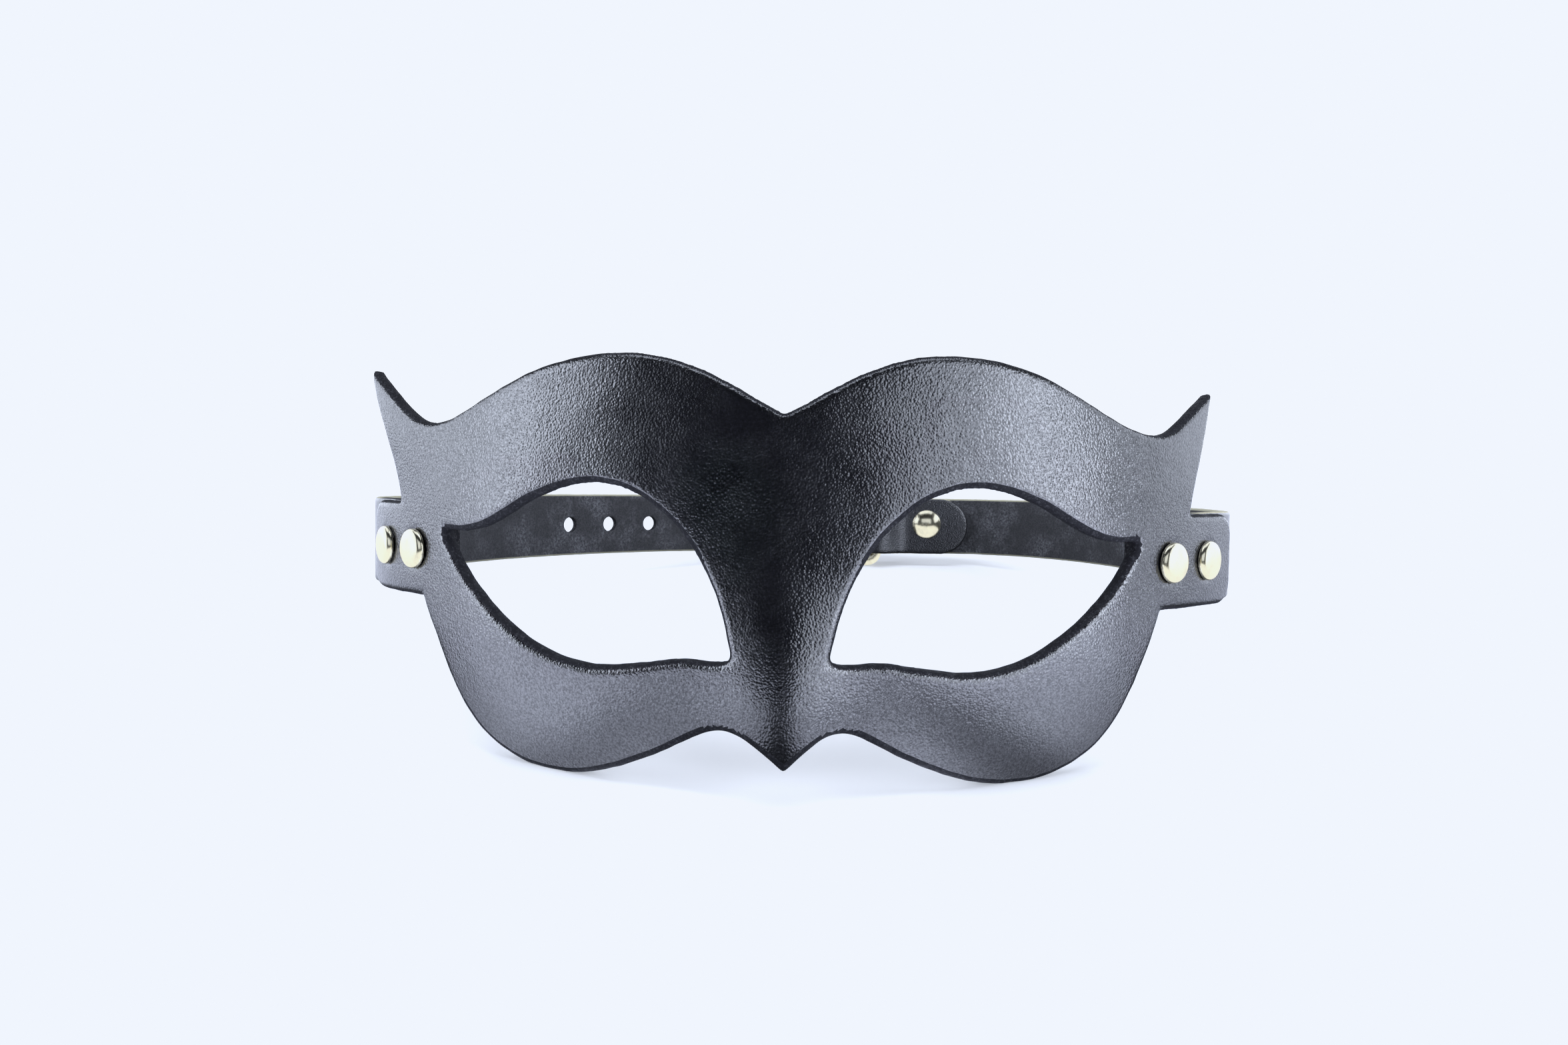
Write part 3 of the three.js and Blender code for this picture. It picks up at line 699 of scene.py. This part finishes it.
def holed_route():
    under = -BAR_THICK / 2 - 2 * GAP - STRAP_THICK / 2
    over = LAYER_STEP + GAP
    prong_s = 0.47 * BUCKLE_LENGTH
    passes = [
        (BUCKLE_LENGTH + 14, 0), (BUCKLE_LENGTH + 7, under * 0.55), (BUCKLE_LENGTH + 1, under),
        (BUCKLE_LENGTH * 0.83, under * 0.85), (prong_s, (under + over) / 2),
        (BUCKLE_LENGTH * 0.22, over * 0.8), (0, over), (-6, over), (prong_s - TONGUE, over),
    ]
    return spline(np.vstack([tab_arc(-1), loop_points(LEFT_LOOP), [at_buckle(*p) for p in passes]]), 40)


def folded_route():
    lead = spline(np.vstack([tab_arc(1), loop_points(RIGHT_LOOP)]), 40)
    turn = [
        at_buckle(FOLD_RADIUS * math.cos(a), BAR_N + FOLD_RADIUS * math.sin(a))
        for a in np.linspace(math.pi / 2, -math.pi / 2, 41)
    ]
    settle = 10
    back = [
        at_buckle(-settle * t, 2 * BAR_N + (-LAYER_STEP - 2 * BAR_N) * float(ease(t)))
        for t in np.linspace(0, 1, 25)[1:]
    ]
    return np.vstack([lead, turn, back, [at_buckle(-FOLD_BACK, -LAYER_STEP)]]), lengths_of(lead)[-1]


class Band:
    """Strap along a plan route: s is the length along it, h the height, depth from its outer face"""

    def __init__(self, route, outward):
        at = lengths_of(route)
        self.length = at[-1]
        self.s = np.linspace(0, self.length, int(self.length / BAND_STEP) + 1)
        self.line = np.stack([np.interp(self.s, at, route[:, k]) for k in (0, 1)], 1)
        for _ in range(3):
            self.line[1:-1] = (self.line[:-2] + 2 * self.line[1:-1] + self.line[2:]) / 4
        along = unit(np.gradient(self.line, axis=0))
        self.out = np.stack([along[:, 1], -along[:, 0]], 1) * outward

    def place(self, points, depth):
        s, h = points.T
        at = [np.interp(s, self.s, self.line[:, k]) for k in (0, 1)]
        out = [np.interp(s, self.s, self.out[:, k]) for k in (0, 1)]
        lift = STRAP_THICK / 2 - depth
        past = np.maximum(0, s - self.length)
        along = self.line[-1] - self.line[-2]
        along = along / np.hypot(*along)
        x, y = (at[k] + out[k] * lift + past * along[k] for k in (0, 1))
        return np.stack([x, y, h], 1)


def band_outline(length):
    """Flat shape of a strap: small corners at the start and a round end"""
    half = STRAP_WIDE / 2
    corner = 1.2
    return np.vstack([
        arc((corner, -half + corner), corner, 180, 270, 6), arc((length - half, 0), half, -90, 90, 60),
        arc((corner, half - corner), corner, 90, 180, 6),
    ])


def long_edges(points, bare_from):
    """Undyed leather shows along a strap's two long edges, away from the mask"""
    s, h = points.T
    return ease((np.abs(h) - STRAP_WIDE / 2 + 0.9) / 0.6) * ease((s - bare_from) / 6)


def strap(name, band, holes, node, bare_from):
    border = Border(
        wobble(even_loop(band_outline(band.length), 0.6), 0.05, 4.0, 2.5),
        [even_loop(h, 0.45) for h in holes],
    )
    return leather_sheet(
        name, border, band.place, STRAP_THICK, fine=1.3, grain=(0.8, 0.4, [(9, 0.06, 1.1)]),
        flesh=(0.5, 0.2, [(5, 0.08, 3.3), (2, 0.04, 6.1)]), rough=(0.1, 0.05), material=strap_leather,
        cut=strap_cut, node=node, band=lambda p: np.full(len(p), 0.15),
        pale=lambda p: long_edges(p, bare_from),
    )


rivet_steps = [TAB_REACH - RIVET_INSET - k * RIVET_SPACING - STRAP_START for k in (0, 1)]
tab_holes = [oval((s, 0), post_wide, post_wide) for s in rivet_steps]
holed = Band(holed_route(), -1)
first_hole = holed.length - TONGUE
punched = [oval((first_hole, 0), PRONG_HOLE_LONG, HOLE_WIDE)]
punched += [oval((first_hole - k * HOLE_PITCH, 0), HOLE_WIDE, HOLE_WIDE) for k in range(1, HOLE_COUNT)]
strap("strap_holed_leather", holed, tab_holes + punched, "strap_holed", bare_from=34)

folded_line, lead_length = folded_route()
folded = Band(folded_line, 1)
turn_start = lead_length + (RIGHT_LOOP[-1][0] * STRAP_HALF_SPAN - BUCKLE_RIGHT)
slot_hole = oval((turn_start + 1, 0), SLOT_LONG, PRONG_THICK + 4 * GAP)
fold_hole = oval((turn_start - FOLD_RIVET_BACK, 0), post_wide, post_wide)
fold_back_hole = oval((folded.length - (FOLD_BACK - FOLD_RIVET_BACK), 0), post_wide, post_wide)
fold_holes = [fold_hole, slot_hole, fold_back_hole]
strap("strap_folded_leather", folded, tab_holes + fold_holes, "strap_folded", bare_from=18)


# Rivets

def lathe(name, profile, origin, out, node):
    """Turned piece round an axis: the profile is (radius, height) from pole to pole"""
    origin, out = np.asarray(origin, float), unit(np.asarray(out, float))
    up = np.array([0.0, 0.0, 1.0])
    side = np.cross(out, up)
    segments = 64
    turn = np.arange(segments) * 2 * math.pi / segments
    points = [origin + out * profile[0][1]]
    for r, z in profile[1:-1]:
        for a in turn:
            points.append(origin + out * z + (side * math.cos(a) + up * math.sin(a)) * r)
    points.append(origin + out * profile[-1][1])
    faces = []
    rings = len(profile) - 2
    for i in range(segments):
        n = (i + 1) % segments
        faces.append((0, 1 + i, 1 + n))
        for k in range(rings - 1):
            a = 1 + k * segments
            faces.append((a + i, a + segments + i, a + segments + n, a + n))
        last = 1 + (rings - 1) * segments
        faces.append((last + i, len(points) - 1, last + n))
    return make_piece(name, np.array(points), faces, brass, (node,))


def round_profile(radius, rise, seat):
    """Cap that is part of a ball, with a rolled rim"""
    ball = (radius**2 + rise**2) / (2 * rise)
    dome = [(0, rise)]
    for r in np.linspace(0.08, 0.97, 14) * radius:
        dome.append((r, rise - ball + math.sqrt(ball**2 - r**2)))
    return dome + [(radius, seat + 0.12)] + [(radius * share, seat) for share in (0.985, 0.9, 0.8)]


def cap_profile(radius, rise, seat):
    """Low cap with a rolled rim, from its top to its underside"""
    dome = [(0, rise)]
    dome += [(radius * r, seat + (rise - seat) * z) for r, z in (
        (0.12, 0.999), (0.3, 0.992), (0.48, 0.978), (0.62, 0.957), (0.74, 0.925), (0.83, 0.878), (0.9, 0.8),
        (0.95, 0.68), (0.985, 0.5), (1.0, 0.29), (0.99, 0.12), (0.955, 0.03), (0.9, 0.0), (0.8, 0.0),
    )]
    return dome


def rivet(name, cap, rise, stack, origin, out, node, profile=cap_profile):
    back_rise = rise * 0.55
    front = profile(cap / 2, rise, -0.12)
    back = [(r, -stack - z) for r, z in reversed(cap_profile(cap / 2 * 0.92, back_rise, -0.05))]
    post = [(RIVET_POST / 2, -0.12), (RIVET_POST / 2, -stack + 0.05)]
    return lathe(name, front + post + back, origin, out, node)


tab_stack = FACE_THICK + GAP + STRAP_THICK
for (side, place_name), u in zip(
    [(s, k) for s in ("left", "right") for k in ("outer", "inner")], rivet_arcs
):
    at = face_form(np.array([float(u)]), np.array([0.0]))[0]
    inward = face_inward(np.array([float(u)]), np.array([0.0]))[0]
    rivet(f"rivet_{side}_{place_name}_cap", RIVET_CAP, TAB_CAP_RISE, tab_stack, at, -inward,
          f"rivet_{side}_{place_name}")

# The fold's rivet is a little wider, rounder and higher up in the photo than in the CAD
FOLD_CAP_WIDER = 0.8
FOLD_CAP_ROUNDER = 0.2
FOLD_RIVET_UP = 0.7
fold_at = (*at_buckle(-FOLD_RIVET_BACK, -LAYER_STEP - STRAP_THICK / 2), FOLD_RIVET_UP)
rivet("rivet_fold_cap", FOLD_CAP + FOLD_CAP_WIDER, CAP_RISE + FOLD_CAP_ROUNDER, LAYER_STEP + STRAP_THICK,
      fold_at, (0, -1, 0), "rivet_fold", round_profile)


# Buckle

def tube(name, line, widths, section, replaced=(), closed=False, up_hint=(0, 0, 1)):
    """Section swept along a line of points, scaled at each point by (across, along up)"""
    line = np.asarray(line, float)
    if closed:
        along = unit(np.roll(line, -1, 0) - np.roll(line, 1, 0))
    else:
        along = unit(np.gradient(line, axis=0))
    up = unit(np.cross(np.asarray(up_hint, float), along))
    other = np.cross(along, up)
    count = len(section)
    points = np.vstack([
        p + section[:, :1] * w[0] * a + section[:, 1:] * w[1] * b
        for p, a, b, w in zip(line, up, other, widths)
    ])
    faces = []
    rows = len(line)
    for i in range(rows if closed else rows - 1):
        j = (i + 1) % rows
        for k in range(count):
            n = (k + 1) % count
            faces.append((i * count + k, i * count + n, j * count + n, j * count + k))
    if not closed:
        faces += [tuple(range(count)), tuple(range((rows - 1) * count, rows * count))[::-1]]
    return make_piece(name, points, faces, brass, replaced)


def squircle(power, steps=28):
    a = np.arange(steps) * 2 * math.pi / steps
    c, s = np.cos(a), np.sin(a)
    return np.stack([np.sign(c) * np.abs(c) ** (2 / power), np.sign(s) * np.abs(s) ** (2 / power)], 1)


def frame_point(s, across, lift=0.0):
    """Point on the buckle's frame, which is tilted between its two bars"""
    tilt = math.atan2(-BAR_N, BUCKLE_LENGTH)
    cos, sin = math.cos(tilt), math.sin(tilt)
    x, y = at_buckle(s * cos - lift * sin, BAR_N + s * sin + lift * cos)
    return (x, y, across)


ring_half = FRAME_HALF - FRAME_EDGE / 2
turn_radius = 3.2
near, far = turn_radius, BUCKLE_LENGTH - turn_radius
low, high = turn_radius - ring_half, ring_half - turn_radius
corners = [((far, high), 0), ((near, high), 90), ((near, low), 180), ((far, low), 270)]
outline = np.vstack([arc(c, turn_radius, a, a + 90, 12) for c, a in corners])
outline = even_loop(outline, 0.7, 2)
ring = np.array([frame_point(s, h) for s, h in outline])
side_share = ease((np.abs(outline[:, 1]) - ring_half + 2.5) / 2.5)
widths = [(BAR_WIDE / 2 + (FRAME_EDGE - BAR_WIDE) / 2 * k - 0.08 * k, BAR_THICK / 2) for k in side_share]
tilt_up = np.array(frame_point(0, 0, 1)) - np.array(frame_point(0, 0))
tube("buckle_frame", ring, widths, squircle(2.9), ("buckle",), True, tilt_up)

prong_from = np.array([*at_buckle(0.2, BAR_N + 0.8), 0.0])
prong_to = np.array([*at_buckle(BUCKLE_LENGTH + BAR_WIDE / 4, BAR_THICK / 2 + PRONG_THICK / 2 - 0.4), 0.0])
share = np.linspace(0, 1, 40)
prong_line = prong_from + (prong_to - prong_from) * share[:, None]
prong_line[:, 1] += 0.5 * np.sin(math.pi * share)
round_tip = np.sqrt(np.clip(1 - ((share - 0.955) / 0.045).clip(0, 1) ** 2, 0.02, 1))
taper = (1 - 0.25 * ease((share - 0.5) / 0.5)) * round_tip
prong_widths = [(PRONG_THICK / 2 * t, PRONG_THICK / 2 * t) for t in taper]
tube("buckle_prong", prong_line, prong_widths, squircle(2.2))


# Floor, backdrop and light

FLOOR_RADIUS = 0.45
# Where the glow of the leather's floor changes, in metres, from the first number to the second
RIGHT_OF_NOSE = (0.008, 0.026)
LEFT_OF_NOSE = (-0.037, -0.015)
OUTER_ENDS = (0.33, 0.44)
UNDER_FACE = (-0.095, -0.06)
FAR_AHEAD = (-0.14, -0.105)
CLEAR_OF_NOSE = (0.03, 0.08)
BESIDE_TABS = (0.12, 0.18)
RIGHT_DIP_AT = 0.047
RIGHT_DIP = (0.002, 0.02)
LEFT_DIP_AT = -0.042
LEFT_DIP = (0.002, 0.022)


def disc(name, z, clear=False):
    """Round floor with a glow added to paper, or to nothing if it is clear, and the nodes of its material"""
    mesh = bpy.data.meshes.new(name)
    work = bmesh.new()
    bmesh.ops.create_circle(work, cap_ends=True, radius=FLOOR_RADIUS, segments=96)
    work.to_mesh(mesh)
    work.free()
    piece = bpy.data.objects.new(name, mesh)
    piece.location.z = z
    bpy.context.scene.collection.objects.link(piece)
    look = bpy.data.materials.new(name)
    look.use_nodes = True
    look.node_tree.nodes.clear()
    g = Graph(look)
    glow = g.add("ShaderNodeEmission")
    paper = g.add("ShaderNodeBsdfTransparent" if clear else "ShaderNodeBsdfDiffuse")
    both = g.add("ShaderNodeAddShader")
    out = g.add("ShaderNodeOutputMaterial")
    g.set(both.inputs[0], glow.outputs[0])
    g.set(both.inputs[1], paper.outputs[0])
    g.set(out.inputs[0], both.outputs[0])
    mesh.materials.append(look)
    return piece, g, glow, paper


# The camera sees this floor, whose white is overexposed but for the soft shadows
floor, g, glow, paper = disc("floor", -0.00004)
floor.visible_glossy = False
floor.visible_diffuse = False
floor.visible_shadow = False
glow.inputs["Strength"].default_value = 0.25
paper.inputs["Color"].default_value = (0.4, 0.4, 0.4, 1)

# The leather sees this one, brighter ahead of the two cheeks than ahead of the nose
bounce, g, glow, paper = disc("bounce_floor", -0.0002)
bounce.visible_camera = False
split = g.add("ShaderNodeSeparateXYZ")
g.set(split.inputs[0], g.coords)
x, y = split.outputs["X"], split.outputs["Y"]
across = g.math("ABSOLUTE", x)
beside = g.math("ADD", g.spread(x, *RIGHT_OF_NOSE), g.spread(x, *LEFT_OF_NOSE, 1.12, 0.0))
beside = g.math("MULTIPLY", beside, g.spread(across, *OUTER_ENDS, 1.0, 0.0))
further = g.math("MULTIPLY", g.spread(y, *FAR_AHEAD, 0.55, 0.0), g.spread(x, *CLEAR_OF_NOSE))
before = g.math("ADD", g.spread(y, *UNDER_FACE, 1.0, 0.0), further)
before = g.math("MAXIMUM", before, g.spread(across, *BESIDE_TABS, 0.0, 0.3))
right_dip = g.spread(g.math("ABSOLUTE", g.math("SUBTRACT", x, RIGHT_DIP_AT)), *RIGHT_DIP, 0.35, 1.0)
left_dip = g.spread(g.math("ABSOLUTE", g.math("SUBTRACT", x, LEFT_DIP_AT)), *LEFT_DIP, 0.55, 1.0)
bright = g.math("MULTIPLY", g.math("MULTIPLY", beside, before), g.math("MULTIPLY", right_dip, left_dip))
g.set(glow.inputs["Strength"], g.math("MULTIPLY_ADD", bright, 6.1, 0.05))
glow.inputs["Color"].default_value = (0.92, 0.95, 1.1, 1)
paper.inputs["Color"].default_value = (0.05, 0.05, 0.05, 1)

dome_mesh = bpy.data.meshes.new("backdrop")
work = bmesh.new()
bmesh.ops.create_uvsphere(work, u_segments=64, v_segments=32, radius=14)
work.to_mesh(dome_mesh)
work.free()
dome = bpy.data.objects.new("backdrop", dome_mesh)
bpy.context.scene.collection.objects.link(dome)
dome.visible_diffuse = False
dome.visible_glossy = False
dome.visible_shadow = False
dome_look = bpy.data.materials.new("pale_backdrop")
dome_look.use_nodes = True
nodes, links = dome_look.node_tree.nodes, dome_look.node_tree.links
nodes.clear()
glow = nodes.new("ShaderNodeEmission")
glow.inputs["Strength"].default_value = 1.3
out = nodes.new("ShaderNodeOutputMaterial")
links.new(glow.outputs[0], out.inputs[0])
dome_mesh.materials.append(dome_look)

world = bpy.data.worlds.new("studio")
bpy.context.scene.world = world
world.use_nodes = True
world.node_tree.nodes["Background"].inputs["Color"].default_value = (0.85, 0.9, 1.0, 1)
world.node_tree.nodes["Background"].inputs["Strength"].default_value = 0.02


# The brass takes dimmer lights of its own, so that its colour isn't lost in white
brass_pieces = bpy.data.collections.new("brass_pieces")
for piece in bpy.context.scene.objects:
    if piece.type == "MESH" and brass.name in piece.data.materials:
        brass_pieces.objects.link(piece)
not_brass = bpy.data.collections.new("not_brass")
for piece in brass_pieces.objects:
    not_brass.objects.link(piece)
for entry in not_brass.collection_objects:
    entry.light_linking.link_state = "EXCLUDE"
bounce.light_linking.receiver_collection = not_brass

# Its own floor glows evenly
brass_floor, g, glow, _ = disc("brass_floor", -0.00012, clear=True)
brass_floor.visible_camera = False
brass_floor.light_linking.receiver_collection = brass_pieces
glow.inputs["Strength"].default_value = 1.0


AIM = Vector((0, -0.04, 0.045))
COOL = (0.93, 0.965, 1.06)


def softbox(name, azimuth, elevation, away, wide, tall, radiance, lit):
    """Area light aimed at the mask. Azimuth is from the front, positive to the right, in degrees."""
    a, e = math.radians(azimuth), math.radians(elevation)
    lamp = bpy.data.lights.new(name, "AREA")
    lamp.shape = "RECTANGLE"
    lamp.size = wide
    lamp.size_y = tall
    lamp.energy = radiance * math.pi * wide * tall
    lamp.color = COOL
    obj = bpy.data.objects.new(name, lamp)
    obj.location = AIM + away * Vector((math.sin(a) * math.cos(e), -math.cos(a) * math.cos(e), math.sin(e)))
    obj.rotation_euler = (AIM - obj.location).to_track_quat("-Z", "Y").to_euler()
    obj.visible_camera = False
    obj.light_linking.receiver_collection = lit
    bpy.context.scene.collection.objects.link(obj)


# Name, azimuth, elevation, distance, width, height and radiance
LEATHER_LIGHTS = [
    ("left_key", -66, 15, 1.0, 0.36, 0.8, 14),
    ("left_near", -47, 15, 1.1, 0.26, 0.8, 1.9),
    ("left_side", -93, 15, 1.05, 0.56, 0.9, 5.8),
    ("left_far", -126, 4, 1.1, 0.66, 0.6, 3.4),
    ("right_wide", 47, 15, 1.1, 0.88, 0.8, 8.1),
    ("right_key", 61, 15, 1.0, 0.26, 0.8, 11),
    ("right_side", 93, 15, 1.05, 0.62, 0.9, 4.4),
    ("right_far", 124, 9, 1.1, 0.56, 0.8, 2.7),
    ("right_back", 150, 12, 1.2, 0.6, 0.7, 4.0),
    ("overhead", 180, 66, 1.2, 1.1, 0.9, 3.0),
    ("top", 0, 80, 1.1, 1.4, 0.4, 8.0),
    ("rear", 180, 20, 1.3, 1.2, 0.7, 2.0),
]
BRASS_LIGHTS = [
    ("brass_left", -106, 8, 1.0, 1.9, 1.5, 1.4),
    ("brass_right", 106, 8, 1.0, 1.9, 1.5, 1.4),
    ("brass_top", 180, 64, 1.2, 1.6, 1.4, 1.2),
    ("brass_rear", 180, 10, 1.2, 1.2, 1.0, 1.2),
    ("brass_front", 0, 28, 1.3, 1.6, 0.9, 0.9),
]
for row in LEATHER_LIGHTS:
    softbox(*row, not_brass)
for row in BRASS_LIGHTS:
    softbox(*row, brass_pieces)


# Camera, found by fitting the photo

CAMERA_AT = (7.275, -172.433, 14.585)
YAW, PITCH, ROLL = (math.radians(a) for a in (2.334, 2.328, 0.928))
FOCAL_PIXELS = 1501.1
IMAGE_WIDE = 2352
SENSOR = 36

ahead = np.array([-math.sin(YAW) * math.cos(PITCH), math.cos(YAW) * math.cos(PITCH), -math.sin(PITCH)])
level = np.array([math.cos(YAW), math.sin(YAW), 0.0])
upright = np.cross(level, ahead)
right = level * math.cos(ROLL) + upright * math.sin(ROLL)
above = upright * math.cos(ROLL) - level * math.sin(ROLL)
axes = [to_row([v])[0] - to_row([(0, 0, 0)])[0] for v in (right, above, -ahead)]
axes = [a / np.linalg.norm(a) for a in axes]
lens = bpy.data.cameras.new("camera")
lens.sensor_fit = "HORIZONTAL"
lens.sensor_width = SENSOR
lens.lens = FOCAL_PIXELS / IMAGE_WIDE * SENSOR
lens.clip_start = 0.01
lens.clip_end = 60
camera = bpy.data.objects.new("camera", lens)
matrix = Matrix.Identity(4)
for k, a in enumerate(axes):
    for i in range(3):
        matrix[i][k] = a[i]
place = to_row([CAMERA_AT])[0]
for i in range(3):
    matrix[i][3] = place[i]
camera.matrix_world = matrix
bpy.context.scene.collection.objects.link(camera)
bpy.context.scene.camera = camera

# Colours as the photo shows them: overexposed white comes out as its pale blue
SHOWN_WHITE = (0.871, 0.913, 0.984)
view = bpy.context.scene.view_settings
view.view_transform = "Standard"
view.use_curve_mapping = True
view.curve_mapping.extend = "HORIZONTAL"
for channel, top in zip(view.curve_mapping.curves[:3], SHOWN_WHITE):
    channel.points[0].location = (0, 0)
    channel.points[1].location = (1, top)
view.curve_mapping.update()
